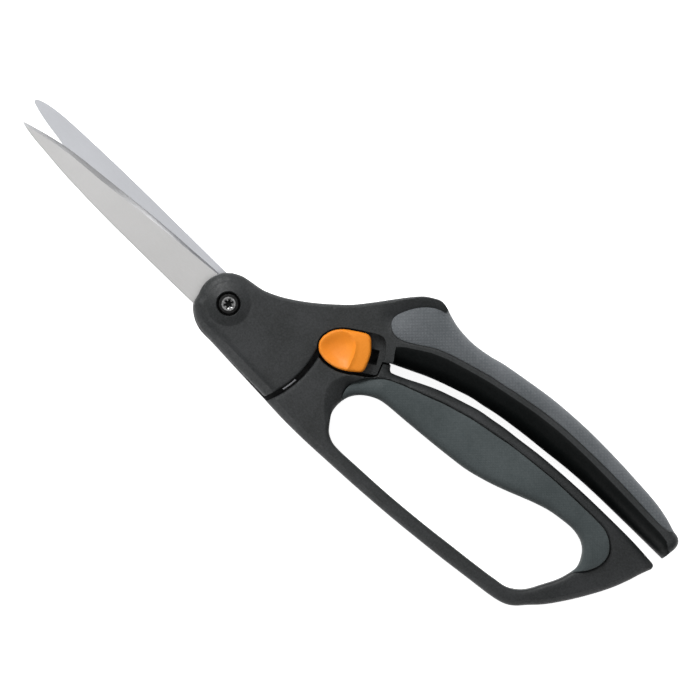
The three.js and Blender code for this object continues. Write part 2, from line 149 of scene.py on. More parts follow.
def circle(radius, spacing=0.5, centre=(0, 0)):
    return arc(radius, 0, 360, spacing, centre)[:-1]


def on_lock(u, v):
    """A plan point given along and across the lock's line of travel."""
    return (u * SLIDE[0] - v * SLIDE[1], u * SLIDE[1] + v * SLIDE[0])


def lock_box(u0, u1, v0, v1, spacing=0.8):
    """A counter-clockwise box along the lock's line of travel."""
    corners = [on_lock(u, v) for u, v in ((u0, v0), (u1, v0), (u1, v1), (u0, v1), (u0, v0))]
    return np.vstack([resampled(corners[i : i + 2], spacing)[:-1] for i in range(4)])


def grown(loop, distance):
    """A counter-clockwise loop moved outwards."""
    before = loop - np.roll(loop, 1, axis=0)
    after = np.roll(loop, -1, axis=0) - loop
    along = before / np.hypot(*before.T)[:, None] + after / np.hypot(*after.T)[:, None]
    along /= np.hypot(*along.T)[:, None]
    return loop + distance * np.column_stack([along[:, 1], -along[:, 0]])


def beside_line(line, distance, towards):
    """A line moved sideways by a distance at each of its points, to the side of a given point."""
    along = np.gradient(line, axis=0)
    along /= np.hypot(*along.T)[:, None]
    side = np.column_stack([-along[:, 1], along[:, 0]])
    middle = len(line) // 2
    if (side[middle] * (towards - line[middle])).sum() < 0:
        side = -side
    return line + side * distance[:, None]


def nearest(points, line, closed=True):
    """Distance from each point to a line, and how far along it that is, as a share."""
    start = line if closed else line[:-1]
    stop = np.roll(line, -1, axis=0) if closed else line[1:]
    side = stop - start
    length = np.maximum((side**2).sum(1), 1e-12)
    along = np.concatenate([[0], np.cumsum(np.sqrt(length))])
    best = level(points, 1e9)
    share = np.zeros(len(points))
    for first in range(0, len(points), 4000):
        p = points[first : first + 4000]
        t = np.clip(((p[:, None] - start) * side).sum(2) / length, 0, 1)
        d = ((p[:, None] - start - t[..., None] * side) ** 2).sum(2)
        k = d.argmin(1)
        row = np.arange(len(p))
        best[first : first + 4000] = np.sqrt(d[row, k])
        share[first : first + 4000] = (along[k] + t[row, k] * np.sqrt(length[k])) / along[-1]
    return best, share


def off(points, line):
    """Distance from each point to an open line."""
    return nearest(points, line, False)[0]


def inside(points, loop):
    """Which points lie inside a loop, by the even-odd rule."""
    x, y = points[:, 0], points[:, 1]
    found = np.zeros(len(points), bool)
    for (x0, y0), (x1, y1) in zip(loop, np.roll(loop, -1, axis=0)):
        if y0 == y1:
            continue
        found ^= ((y0 > y) != (y1 > y)) & (x < (x1 - x0) * (y - y0) / (y1 - y0) + x0)
    return found


# ---- layered bodies ----


def to_frame(points):
    return np.asarray(points, float) * MM + PIVOT


def thin_out(groups, least):
    """Points of all groups in order, without those closer than a distance to one taken before."""
    taken, cells = [], {}
    for points, room in groups:
        for p in points:
            cell = (int(p[0] // least), int(p[1] // least))
            near = (
                q
                for i in (-1, 0, 1)
                for j in (-1, 0, 1)
                for q in cells.get((cell[0] + i, cell[1] + j), ())
            )
            if any((p[0] - q[0]) ** 2 + (p[1] - q[1]) ** 2 < room * room for q in near):
                continue
            taken.append(p)
            cells.setdefault(cell, []).append(p)
    return np.array(taken)


def plan_points(loops, marks, rings, spacing):
    """The free points of a plan: rows beside the lines, then a triangular grid between."""
    fixed = np.vstack(loops + [m for m, _ in marks])
    lines = [(loop, True) for loop in loops] + marks
    beside = []
    for line, closed, distances in rings:
        ahead = np.roll(line, -1, axis=0) - np.roll(line, 1, axis=0)
        if not closed:
            ahead[0], ahead[-1] = line[1] - line[0], line[-1] - line[-2]
        ahead /= np.hypot(*ahead.T)[:, None]
        for d in distances:
            for side in (d, -d):
                row = line + side * np.column_stack([-ahead[:, 1], ahead[:, 0]])
                keep = inside(row, loops[0]) & (nearest(row, line, closed)[0] > d * 0.93)
                for hole in loops[1:]:
                    keep &= ~inside(row, hole)
                for other, shut in lines:
                    if other is not line:
                        keep &= nearest(row, other, shut)[0] > min(0.14, d * 0.6)
                beside.append((row[keep], min(0.3, d * 0.6)))
    low, high = fixed.min(0), fixed.max(0)
    rows = np.arange(low[1], high[1], spacing * 0.866)
    columns = np.arange(low[0], high[0], spacing)
    grid = np.array([(x + (k % 2) * spacing / 2, y) for k, y in enumerate(rows) for x in columns])
    free = np.ones(len(grid), bool)
    for other, shut in lines:
        free &= nearest(grid, other, shut)[0] > spacing * 0.45
    for hole in loops[1:]:
        free &= ~inside(grid, hole)
    return beside, grid[free & inside(grid, loops[0])]


def bevel_rows(width, first=0.12):
    """Distances for rows of points across a rounded edge: close together at its rim."""
    count = 6
    return [width * (first / width) ** (1 - k / (count - 1)) for k in range(count)]


def layered(name, loops, top, bottom, marks=(), rings=(), spacing=1.1, sharp=32):
    """One closed body over a plan. top and bottom are (label function, height function): the first
    gives each triangle's middle a label, the second gives the height of points under a label.
    Where labels differ, and along the loops, upright walls join the surfaces. The mesh's edges
    follow the marks (line, closed), and rings (line, closed, distances) add rows beside a line."""
    marks = [(np.asarray(m, float), shut) for m, shut in marks]
    beside, grid = plan_points(loops, marks, rings, spacing)
    fixed = [(line, 0.02) for line in loops + [m for m, _ in marks]]
    points = thin_out(fixed + beside + [(grid, spacing * 0.55)], 1.3)
    index = {tuple(np.round(p, 6)): i for i, p in enumerate(points)}
    edges = []
    for line, shut in [(loop, True) for loop in loops] + marks:
        ids = [index.get(tuple(np.round(p, 6))) for p in line]
        ids = [i for i in ids if i is not None]
        pairs = list(zip(ids, ids[1:] + ids[:1])) if shut else list(zip(ids, ids[1:]))
        edges += [(a, b) for a, b in pairs if a != b]
    cut = geometry.delaunay_2d_cdt([Vector(p) for p in points], edges, [], 0, 1e-7)
    plan = np.array([tuple(v) for v in cut[0]])
    faces = np.array([f for f in cut[2] if len(f) == 3])
    a, b, c = plan[faces[:, 0]], plan[faces[:, 1]], plan[faces[:, 2]]
    turn = (b - a)[:, 0] * (c - a)[:, 1] - (b - a)[:, 1] * (c - a)[:, 0]
    faces[turn < 0] = faces[turn < 0][:, ::-1]
    middle = (a + b + c) / 3
    keep = inside(middle, loops[0]) & (np.abs(turn) > 1e-7)
    for hole in loops[1:]:
        keep &= ~inside(middle, hole)
    faces, middle = faces[keep], middle[keep]

    sheets = []
    for label_of, height_of in (top, bottom):
        labels = label_of(middle)
        keys, heights, where = [], [], {}
        for label in np.unique(labels):
            used = np.unique(faces[labels == label])
            z = height_of(label, plan[used])
            for i, h in zip(used, z):
                where[(i, label)] = len(keys)
                keys.append(i)
                heights.append(h)
        sheets.append((labels, where, np.array(keys), np.array(heights)))
    (top_labels, top_at, top_keys, top_z), (low_labels, low_at, low_keys, low_z) = sheets
    base = len(top_keys)
    co = np.vstack([np.column_stack([plan[top_keys], top_z]), np.column_stack([plan[low_keys], low_z])])
    polygons, side = [], {}
    for f, (tri, up, down) in enumerate(zip(faces, top_labels, low_labels)):
        polygons.append([top_at[(i, up)] for i in tri])
        polygons.append([base + low_at[(i, down)] for i in tri[::-1]])
        for i, j in zip(tri, np.roll(tri, -1)):
            side[(i, j)] = f

    def corners(f, i, j):
        up, down = top_labels[f], low_labels[f]
        return top_at[(i, up)], top_at[(j, up)], base + low_at[(i, down)], base + low_at[(j, down)]

    for (i, j), f in side.items():
        g = side.get((j, i))
        ti, tj, bi, bj = corners(f, i, j)
        if g is None:
            polygons.append([bi, bj, tj, ti])
        elif i < j:
            ui, uj, vi, vj = corners(g, i, j)
            if ui != ti:
                polygons.append([ui, uj, tj, ti])
            if vi != bi:
                polygons.append([bi, bj, vj, vi])
    return make_mesh(name, co, polygons, sharp)


def placed(name, data):
    """A new object in the scene."""
    made = bpy.data.objects.new(name, data)
    bpy.context.scene.collection.objects.link(made)
    return made


def make_mesh(name, co, polygons, sharp=32):
    """An object from millimetre points, smooth but for edges that turn by more than an angle."""
    data = bpy.data.meshes.new(name)
    data.from_pydata([tuple(p) for p in to_frame(co)], [], [list(map(int, p)) for p in polygons])
    work = bmesh.new()
    work.from_mesh(data)
    bmesh.ops.remove_doubles(work, verts=work.verts, dist=2e-6)
    bmesh.ops.dissolve_degenerate(work, edges=work.edges, dist=1e-6)
    for face in work.faces:
        face.smooth = True
    for edge in work.edges:
        if len(edge.link_faces) == 2 and edge.calc_face_angle(0) > math.radians(sharp):
            edge.smooth = False
    work.to_mesh(data)
    work.free()
    return placed(name, data)


def rim(d, width, drop):
    """How far a rounded edge has fallen at a distance from it: a quarter of an ellipse."""
    t = np.clip(d / width, 0, 1)
    return drop * (1 - np.sqrt(np.maximum(0, 1 - (1 - t) ** 2)))


def chamfer(d, width, groove=0.0):
    """A flat chamfer with a rounded outer rim, and a shallow groove along its inner line."""
    line = groove * np.clip(1 - np.abs(d - width) / 0.5, 0, 1)
    return 0.75 * np.clip(width - d, 0, None) + rim(d, 0.7, 0.9) + line


def rims(points, rows):
    """How far the lowest of some rounded edges has fallen, from rows of (line, width, drop)."""
    return np.max([rim(off(points, line), width, drop) for line, width, drop in rows], axis=0)


def eased(t):
    t = np.clip(t, 0, 1)
    return t * t * (3 - 2 * t)


def one_label(middle):
    """The label function of a surface in one piece."""
    return np.zeros(len(middle), int)


def level(points, z):
    return np.full(len(points), z)


# ---- outlines ----

NOSE = arc(10.5, 140, 205)
HEAD_END = arc(HEAD_ARC, -24.9, 17.3)
TONGUE_TIP = arc(TONGUE_ARC, 18.8, 23.1)
BROW = smooth(
    [(54.7, 49), (52.8, 49.6), (51.2, 49.8), (50, 49.6), (48, 48.6), (45.4, 46.9), (42.8, 44.2), (39.5, 40.2),
     (35, 34.4), (30, 28.4), (25, 23.8), (20, 19.7), (15, 16.2), (10, 13.3), (5, 11.3), (1, 10.6),
     (-2.9, 9.9), (-6.1, 8.4)]
)
BROW_SPLIT = int(np.argmin(np.abs(BROW[:, 0] - 42.8)))
PALM_SHOULDER = BROW[: BROW_SPLIT + 1]
HEAD_TOP = BROW[BROW_SPLIT:]
HEAD_FLOOR = smooth(
    [(-9.5, -4.6), (-8.7, -7.7), (-5.5, -10.7), (-1.5, -12.4), (5, -12.9), (15, -13.5), (29.9, -14)]
)
GAP_TOP = smooth(
    [(53.1, 23.1), (56, 24.4), (60, 26.2), (65, 28.4), (70, 30.2), (75, 31.8), (80, 33.3), (85, 34.2),
     (90, 35.2), (100, 36.5), (110, 37.4), (120, 38.3), (130, 38.7), (145, 38.7), (163.2, 38.5)]
)
PALM_TAIL = smooth([(163.2, 38.5), (163.6, 41.5), (163.8, 44.6), (163, 46.5), (161.3, 47.5), (160, 47.7)])
PALM_OUTER = smooth(
    [(160, 47.7), (155, 49.3), (150, 50.4), (145, 51), (140, 51.4), (130, 52.1), (118, 52.5),
     (110, 52.4), (100, 51.8), (90, 50.5), (80, 48.9), (75, 47.7), (72, 47.2), (68, 46.8), (64, 46.9),
     (60, 47.4), (57, 48.2), (54.7, 49)]
)
TONGUE = smooth([(31.8, 10), (33.4, 9.3), (36.2, 8.8), (40, 9.3), (43.1, 10.7), (46.7, 13.3), (50.8, 16)])
TONGUE_END = smooth([(50.8, 16), (51.7, 16.6), (51.9, 17.3)], 0.4)
PALM_GRIP_EDGE = smooth(
    [(54.7, 49), (53.9, 47.9), (52, 47.1), (50, 46), (47.4, 43.7), (45.2, 40.7), (43.6, 37.4),
     (43, 35.4), (43.2, 33.7), (44.1, 32.2), (45.8, 31.1), (48.2, 30.7), (50.8, 31.4), (55, 33.7), (60, 36.8),
     (65, 38.8), (70, 40.3), (75, 41.6), (80, 42.9), (85, 43.8), (90, 44.8), (95, 45.6), (100, 46.4),
     (110, 47.3), (120, 47.5), (130, 47.4), (140, 47), (150, 46.4), (155, 46.2), (158, 46.6), (160, 47.7)]
)
RIDGE = smooth(
    [(50.2, 28.2), (52.2, 30), (55, 31.8), (60, 34.8), (65, 36.9), (70, 38.4), (80, 41), (90, 42.9),
     (100, 44.5), (110, 45.4), (120, 45.6), (130, 45.4), (140, 45), (150, 44.5), (157, 44.2), (160.5, 43.6)]
)

BUTTON = joined(
    smooth(
        [(30.2, 14.2), (30.45, 12.2), (31.3, 10.7), (32.9, 9.4), (36.2, 8.7), (40, 9.2), (43.1, 10.6),
         (46.7, 13.2), (47.7, 14.2), (47.9, 15.4), (47.1, 17.9), (45.6, 20.9), (43.3, 23.5),
         (42.2, 24.5), (41.2, 24.8), (40, 24.6), (36.5, 22.5), (33.1, 20), (31, 17.1), (30.2, 14.2)],
        0.3,
    )
)

GAP_FLOOR = smooth(
    [(162, 35.2), (155, 35.8), (150, 36.05), (140, 36.2), (130, 36.2), (120, 35.9), (110, 35.3),
     (100, 34.2), (95, 33.7), (90, 32.9), (85, 32.1), (80, 30.7), (75, 29.2), (70, 27.5), (65, 25.3),
     (60, 22.9), (56, 21.2), (55.1, 20.9), (54.3, 21.1), (53.3, 22.4)]
)
EAR_TOP = smooth([(53.3, 22.4), (52.9, 22.15), (51.25, 21.2), (51.07, 20.95)], 0.35)
EAR_SIDE = arc(EAR_ARC, 22.3, 18.1)
NOTCH = smooth(
    [(52.4, 17.1), (52.2, 16.3), (51, 14.9), (47.2, 12.2), (43.5, 9.7), (40.2, 8.3), (36.2, 7.75),
     (34.6, 7.95), (33.85, 7.8)]
)
RAIL_CORNER = smooth([(163, 33.4), (162.8, 34.6), (162, 35.2)], 0.4)
LOOP_OUTER = smooth(
    [(31.6, -14.8), (40, -15.3), (50, -15.4), (60, -15.15), (70, -14.85), (80, -14.4), (90, -13.8),
     (100, -13), (110, -12.1), (120, -11), (130, -9.9), (134, -9.1), (136.5, -8.1), (138.8, -6.4),
     (141, -4), (145, 0.1), (150, 6.8), (155, 14.8), (158, 20.5), (160, 25.3), (161.6, 30), (163, 33.4)]
)
BACK_FLOOR = smooth(
    [(-9.5, -4.6), (-8.8, -7.9), (-5.6, -11), (-1.5, -12.8), (5, -13.15), (15, -13.8), (31.6, -14.8)]
)
BACK_TOP = smooth(
    [(24.1, 22.5), (20, 19.1), (15, 15.7), (10, 12.9), (5, 10.9), (1, 10.3), (-2.9, 9.7), (-6.1, 8.2)]
)
BACK_END = arc(BACK_ARC, 16.6, 43)
PLATE_END = arc(PLATE_ARC, -26, 14)

OPENING_TOP = smooth(
    [(49.6, 2.4), (50.3, 5), (52, 7.6), (54.5, 9.7), (57.6, 11.3), (60, 11.9), (70, 12.6), (80, 13.3),
     (90, 14.2), (95, 14.8), (100, 15.9), (105, 17.3), (110, 19), (115, 20.9), (120, 22.7),
     (125, 24.1), (130, 24.8), (134, 25.1), (137, 24.8), (140, 23.7), (142.2, 21.9), (144, 18.9),
     (144.6, 16.6), (144.3, 14.2)]
)
OPENING_FLOOR = smooth(
    [(144.3, 14.2), (143, 10), (140.4, 5), (137.5, 0), (135, -2.5), (132, -4.2), (128, -4.9),
     (120, -5.9), (110, -6.9), (100, -7.9), (90, -8.7), (80, -9.3), (70, -9.6), (60, -9.85),
     (57, -9.5), (54, -8), (51.5, -5), (50, -2.6), (49.5, 0), (49.6, 2.4)]
)
LOOP_GRIP_EDGE = smooth(
    [(144.3, 14.2), (145.8, 16), (148, 18.9), (149.5, 22.4), (149.6, 25.5), (148.7, 28),
     (145.8, 30.8), (143, 32.1), (140, 32.5), (130, 32.6), (120, 32.5), (110, 31.8), (100, 30.8),
     (95, 29.9), (90, 29.1), (85, 28.2), (80, 26.9), (75, 25.5), (70, 23.7), (65, 22), (60, 20.2),
     (56, 18.4), (52.5, 15.8), (50, 13.2), (48.4, 10.3), (47.8, 7.1), (48.3, 4.7), (49.6, 2.4)]
)

CUTTING = [(-85, -1.6), (-80, -0.5), (-77.5, 0), (-70, 1), (-60, 1.9), (-50, 2.8), (-40, 3.6),
           (-30, 4.2), (-20, 4.6), (-8, 5.2)]
FRONT_CUT = smooth([(-92.2, -3.5)] + CUTTING)
FRONT_TANG = smooth(
    [(-8, 5.2), (0, 7.5), (9, 9.6), (20, 15.5), (30, 24.3), (37.5, 32.5), (40, 34), (42, 33.4),
     (43.5, 31), (37, 23), (24, 11), (12, 1), (2, -6.5), (-8, -8)]
)
FRONT_SPINE = smooth(
    [(-8, -8), (-20, -8), (-40, -7.8), (-50, -7.6), (-60, -7.2), (-70, -6.6), (-80, -5.6),
     (-85, -5.1), (-90, -4.2), (-92.2, -3.5)]
)
BACK_CUT = smooth(
    [(-93.9, 4.3), (-93.6, 3.8), (-92, 3.2), (-90, 2.6), (-85, 1.5), (-80, 0.7), (-77.5, 0.2),
     (-70, -0.7), (-60, -1.7), (-50, -2.6), (-40, -3.4), (-30, -4), (-20, -4.5), (-8, -5.1)]
)
BACK_TANG = smooth(
    [(-8, -5.1), (2, -8), (12, -9.2), (22, -8.8), (32, -8), (38, -8.4), (44.5, -8), (45.5, -7),
     (45.5, -3.4), (44.3, -2.2), (38, -2.2), (32, -2.8), (24, 0.6), (12, 6.2), (0, 7.6), (-8, 7)]
)
BACK_SPINE = smooth(
    [(-8, 7), (-20, 7.2), (-30, 7.35), (-45, 7.55), (-60, 7.6), (-70, 7.5), (-80, 7.3), (-85, 7),
     (-90, 6.3), (-92, 5.75), (-93.5, 5), (-93.9, 4.3)]
)


def hull(points):
    """The convex loop round some points, counter-clockwise."""
    def chain(rows):
        made = []
        for p in rows:
            while len(made) > 1:
                (ax, ay), (bx, by) = made[-2:]
                if (bx - ax) * (p[1] - ay) - (by - ay) * (p[0] - ax) > 0:
                    break
                made.pop()
            made.append(tuple(p))
        return made[:-1]

    rows = sorted(map(tuple, points))
    return np.array(chain(rows) + chain(rows[::-1]))


POCKET = grown(hull(np.vstack([BUTTON, BUTTON + TRAVEL * SLIDE])), 0.6)
POCKET = smooth(resampled(np.vstack([POCKET, POCKET[:1]]), 1.6), 0.5)[:-1]
RADIUS = lambda p: np.hypot(p[:, 0], p[:, 1])


def clipped(line, loop, margin=0.0):
    """The longest run of a closed line's points that lies inside a loop, as an open line."""
    within = inside(line, loop) & (nearest(line, loop)[0] > margin)
    if within.all():
        return line
    first = int(np.argmin(within))
    within, line = np.roll(within, -first), np.roll(line, -first, axis=0)
    runs, start = [], None
    for i, w in enumerate(list(within) + [False]):
        if w and start is None:
            start = i
        if not w and start is not None:
            runs.append((start, i))
            start = None
    a, b = max(runs, key=lambda r: r[1] - r[0])
    return line[a:b]


def open_marks(loop, *lines):
    """Marks along the parts of some lines that lie inside a loop."""
    return [(clipped(line, loop, MARK_GAP), False) for line in lines]


def closed_marks(*lines):
    return [(line, True) for line in lines]


# ---- palm half ----

PALM_SHELL = joined(
    HEAD_FLOOR, HEAD_END, TONGUE, TONGUE_END, TONGUE_TIP, GAP_TOP, PALM_TAIL,
    PALM_GRIP_EDGE[::-1], PALM_SHOULDER, HEAD_TOP, NOSE,
)


def dish_drop(points):
    """The cone round the nut, with a softened lip."""
    slope = DISH_DEPTH * (DISH - RADIUS(points)) / (DISH - NUT_ROOM)
    lip = 0.3
    return np.where(slope > lip, slope, np.where(slope > -lip, (slope + lip) ** 2 / (4 * lip), 0))


def head_crease():
    """The crisp inner line of the chamfer along the head's nose and floor."""
    floor = 2.3 + 1.6 * eased(np.linspace(0, 1, len(HEAD_FLOOR)) / 0.5)
    inner = beside_line(HEAD_FLOOR, floor, np.array([0, 0]))
    return np.vstack([arc(8.2, 120, 205), inner[2:]])


def boss_rise(points):
    """The low raised cone round the pivot screw."""
    r = RADIUS(points)
    rise = BOSS_HEIGHT * np.clip((DISH - r) / (DISH - BOSS_TOP), 0, 1)
    return rise - rim(r - COUNTERBORE, 0.3, 0.25)


def head_edge_drop(points):
    """The head's outer edge: a chamfer that is widest along its floor and narrow above."""
    floor, along = nearest(points, HEAD_FLOOR, False)
    drop = chamfer(floor, 2.3 + 1.6 * eased(along / 0.5), 0.25)
    drop = np.maximum(drop, chamfer(off(points, NOSE), 2.3, 0.25))
    top, along = nearest(points, HEAD_TOP, False)
    return np.maximum(drop, chamfer(top, 1.1 + 1.2 * eased((along - 0.75) / 0.25)))


SLOPE_START = smooth([RIDGE[0], (51.6, 26), (52.9, 24.2), GAP_TOP[0]], 0.5)
SLOPE = joined(RIDGE, [(163.5, 41.2)], GAP_TOP[::-1], SLOPE_START[::-1])
BLOB_EDGE = PALM_GRIP_EDGE[: int(np.argmin(PALM_GRIP_EDGE[:60, 0])) + 1]


def gap_slope(points):
    """The long face that rolls over from the ridge to the gap between the handles."""
    gap = off(points, GAP_TOP)
    ridge = off(points, RIDGE)
    share = ridge / np.maximum(gap + ridge, 1e-6)
    return 0.9 * share + 8.2 * (1 - np.sqrt(np.maximum(0, 1 - share**2)))


def shoulder_drop(points):
    """The hollow above the blob of the palm grip."""
    return 1.7 * np.clip(1 - off(points, BLOB_EDGE) / 5.5, 0, 1) ** 1.5


HANDLE_SIDE = np.array([40, 30])
REBATE_EDGE = np.vstack([TONGUE, TONGUE_END, TONGUE_TIP, GAP_TOP[:3]])
REBATE_SIDE = beside_line(REBATE_EDGE, level(REBATE_EDGE, REBATE), HANDLE_SIDE)
REBATE_AREA = np.vstack([REBATE_EDGE, REBATE_SIDE[::-1]])


def palm_top(label, points):
    flat = {1: POCKET_FLOOR, 2: COUNTERBORE_FLOOR}
    if label in flat:
        return level(points, flat[label])
    if label == 3:
        return LAND - gap_slope(points)
    edges = rims(points, [
        (HEAD_END, 0.7, 0.6), (PALM_SHOULDER, 1.7, 1.4), (PALM_TAIL, 2.4, 2.6),
        (PALM_GRIP_EDGE, 0.45, 0.45), (TONGUE, 0.6, 0.5), (GAP_TOP[:4], 0.5, 0.4),
    ])
    drop = np.max([head_edge_drop(points), shoulder_drop(points), edges], axis=0)
    return LAND - drop + boss_rise(points)


def palm_top_label(middle):
    label = np.where(inside(middle, SLOPE), 3, 0)
    label = np.where(inside(middle, POCKET), 1, label)
    return np.where(RADIUS(middle) < COUNTERBORE, 2, label)


FRONT_BLADE_LOOP = joined(FRONT_CUT, FRONT_TANG, FRONT_SPINE)
FRONT_POCKET = grown(FRONT_BLADE_LOOP, 0.3)
LOCK_ROOM = lock_box(37.2, 52.8, -10.3, -2.4)
COVER_SEAT = lock_box(36.7, 53.2, -11, -1.8)


def palm_low_label(middle):
    r = RADIUS(middle)
    label = np.where(r < PLATE_ARC, 1, 0)
    label = np.where((label == 1) & inside(middle, FRONT_POCKET), 2, label)
    label = np.where((r > SPRING_ROOM[0]) & (r < SPRING_ROOM[1]), 3, label)
    label = np.where(inside(middle, COVER_SEAT), 5, label)
    label = np.where((r > PLATE_ARC) & inside(middle, REBATE_AREA), 7, label)
    label = np.where(inside(middle, SLOPE), 6, label)
    return np.where(inside(middle, LOCK_ROOM), 4, label)


def palm_low(label, points):
    flat = {
        1: HEAD_GAP, 2: POCKET_ROOF, 3: SPRING_ROOF, 4: ROOM_CEILING,
        5: COVER_RECESS - LAND, 7: LIP_TOP + 0.4,
    }
    if label in flat:
        return level(points, flat[label])
    if label == 6:
        return gap_slope(points) - LAND
    return rims(points, [
        (arc(PLATE_ARC, 12, 62), 0.8, 0.7), (HEAD_TOP, 1.7, 1.4), (TONGUE, 0.8, 0.7),
        (PALM_SHOULDER, 1.7, 1.4), (PALM_TAIL, 2.4, 2.6), (PALM_GRIP_EDGE, 0.35, 0.35),
    ]) - LAND


def palm_handle():
    slot = lock_box(38.2, 52.6, -8.6, -3.6)
    marks = [
        *closed_marks(circle(COUNTERBORE, 0.3), circle(BOSS_TOP, 0.35), circle(DISH)),
        *closed_marks(circle(SPRING_ROOM[1]), circle(SPRING_ROOM[0])),
        *open_marks(PALM_SHELL, POCKET, arc(PLATE_ARC, 0, 70), FRONT_POCKET),
        (LOCK_ROOM, True),
        *open_marks(PALM_SHELL, COVER_SEAT, head_crease()),
        (RIDGE, False),
        (SLOPE_START, False),
        *open_marks(PALM_SHELL, REBATE_SIDE, resampled([REBATE_SIDE[-1], GAP_TOP[2]], 0.5)),
    ]
    rings = [
        (circle(DISH), True, [0.25]),
        (HEAD_FLOOR, False, bevel_rows(0.7) + [1.4, 2.3, 3.1]),
        (NOSE, False, bevel_rows(0.7) + [1.4]),
        (head_crease(), False, [0.5]),
        (HEAD_TOP, False, bevel_rows(0.7) + [1.1, 1.6]),
        (HEAD_END, False, bevel_rows(0.7)),
        (GAP_TOP, False, [0.15, 0.35, 0.7, 1.2, 1.8]),
        (RIDGE, False, [0.3, 0.8]),
        (SLOPE_START, False, [0.2]),
        (PALM_TAIL, False, bevel_rows(2.4)),
        (PALM_GRIP_EDGE, False, [0.12, 0.22, 0.36]),
        (PALM_SHOULDER, False, bevel_rows(1.7)),
        (TONGUE, False, bevel_rows(0.8)),
    ]
    sheets = (palm_top_label, palm_top), (palm_low_label, palm_low)
    return layered("palm_handle_shell", [PALM_SHELL, circle(BORE), slot], *sheets, marks, rings)


PALM_GRIP_LOOP = joined(PALM_GRIP_EDGE, PALM_OUTER)


def palm_grip_height(label, points):
    outer = off(points, PALM_OUTER)
    seam = off(points, PALM_GRIP_EDGE)
    blob = off(points, BLOB_EDGE)
    z = GRIP_LAND + 0.35 * eased(seam / 3) - rim(outer, 4.2, 4.6) - 0.8 * eased(1 - blob / 6)
    return z - rim(seam, 0.45, 0.4)


def pad(name, loop, height, outer, width, seam):
    """A grip that fills the handle's seat: rounded along its outer line, and nearly level below."""
    rings = [(outer, False, bevel_rows(width)), (seam, False, [0.12, 0.25, 0.45])]
    low = lambda label, points: -np.minimum(height(label, points), GRIP_LAND)
    return layered(name, [loop], (one_label, height), (one_label, low), (), rings, 1.0)


def palm_grip():
    return pad("palm_grip_pad", PALM_GRIP_LOOP, palm_grip_height, PALM_OUTER, 4.4, PALM_GRIP_EDGE)


# ---- loop half ----

CLEAR_SIDE = np.vstack([EAR_TOP, EAR_SIDE, NOTCH])
COVER_PLAN = lock_box(37, 52.9, -10.7, -2.1, 0.5)
LIP_WIDTH = np.clip(nearest(CLEAR_SIDE, COVER_PLAN)[0] - 0.6, 1.1, LIP)
LIP_WIDTH = np.minimum(LIP_WIDTH, 0.2 + np.hypot(*(CLEAR_SIDE - CLEAR_SIDE[0]).T))
LIP_EDGE = beside_line(CLEAR_SIDE, LIP_WIDTH, HANDLE_SIDE)


def loop_plan(side):
    """The loop handle's outline, with a given line on the side that faces the palm handle's tongue."""
    return joined(LOOP_OUTER, RAIL_CORNER, GAP_FLOOR, side, BACK_END, BACK_TOP, NOSE, BACK_FLOOR)


LOOP_SHELL = loop_plan(LIP_EDGE)
LOOP_LAND = loop_plan(CLEAR_SIDE)
LOOP_HOLE = joined(OPENING_FLOOR, LOOP_GRIP_EDGE[::-1])
BACK_BLADE_LOOP = joined(BACK_CUT, BACK_TANG, BACK_SPINE)
BACK_POCKET = grown(BACK_BLADE_LOOP, 0.3)

BAND_EDGE = smooth(
    [(54.6, -8.6), (49.6, -5.6), (45.9, -1.9), (43.5, 1.4), (42.9, 3.5), (43.1, 5.9), (44.1, 8.4),
     (45.9, 10.9), (48.6, 13.3), (51.6, 15.9)], 0.6
)
BAND_RIM = np.vstack([OPENING_FLOOR[-15:], LOOP_GRIP_EDGE[::-1][:22]])


def band_drop(points):
    """The hollow that leads from the plate into the finger opening's front end."""
    crease = off(points, BAND_EDGE)
    edge = off(points, BAND_RIM)
    share = crease / np.maximum(crease + edge, 1e-6)
    within = inside(points, np.vstack([BAND_EDGE, BAND_RIM[::-1]])) | (crease < 1e-3) | (edge < 1e-3)
    wide = eased((crease + edge - 0.8) / 3)
    return np.where(within, wide * (1.5 * share + 2.4 * (1 - np.sqrt(np.maximum(0, 1 - share**2)))), 0)


def loop_chamfer(along):
    """The width of the chamfer on the loop handle's outside at a share of its length."""
    return 2.6 - 0.9 * eased((along - 0.1) / 0.3)


def loop_crease():
    """The crisp inner line of the chamfer along the loop handle's outside."""
    along = np.linspace(0, 1, len(LOOP_OUTER))
    return beside_line(LOOP_OUTER, loop_chamfer(along), np.array([90, 0]))


def tail_drop(points):
    """How the loop handle thins towards its tail."""
    return 6.0 * eased((points[:, 0] - 118) / 52)


def plate_drop(points):
    """All that lowers the loop handle's faces below its land."""
    outer, along = nearest(points, LOOP_OUTER, False)
    drop = chamfer(outer, loop_chamfer(along))
    edges = rims(points, [
        (OPENING_FLOOR, 1.6, 1.5), (RAIL_CORNER, 1.2, 1.2), (GAP_FLOOR, 3.0, 3.4),
        (NOTCH, 0.5, 0.45), (LOOP_GRIP_EDGE, 1.0, 1.1),
    ])
    return np.max([drop, edges, band_drop(points)], axis=0) + tail_drop(points)


def loop_top_label(middle):
    label = np.where(RADIUS(middle) < PLATE_ARC, 1, 0)
    label = np.where(inside(middle, LOOP_LAND), label, 4)
    return np.where((label == 1) & inside(middle, BACK_POCKET), 2, label)


def loop_top(label, points):
    flat = {1: -HEAD_GAP, 2: -POCKET_ROOF, 4: LIP_TOP}
    if label in flat:
        return level(points, flat[label])
    return LAND - np.maximum(plate_drop(points), rim(off(points, PLATE_END), 0.7, 0.6))


def hexagon(across, spacing=0.5):
    turns = [math.radians(60 * k) for k in range(7)]
    corners = [(across / math.sqrt(3) * math.cos(a), across / math.sqrt(3) * math.sin(a)) for a in turns]
    return np.vstack([resampled(corners[k : k + 2], spacing)[:-1] for k in range(6)])


NUT_POCKET = hexagon(8.4)


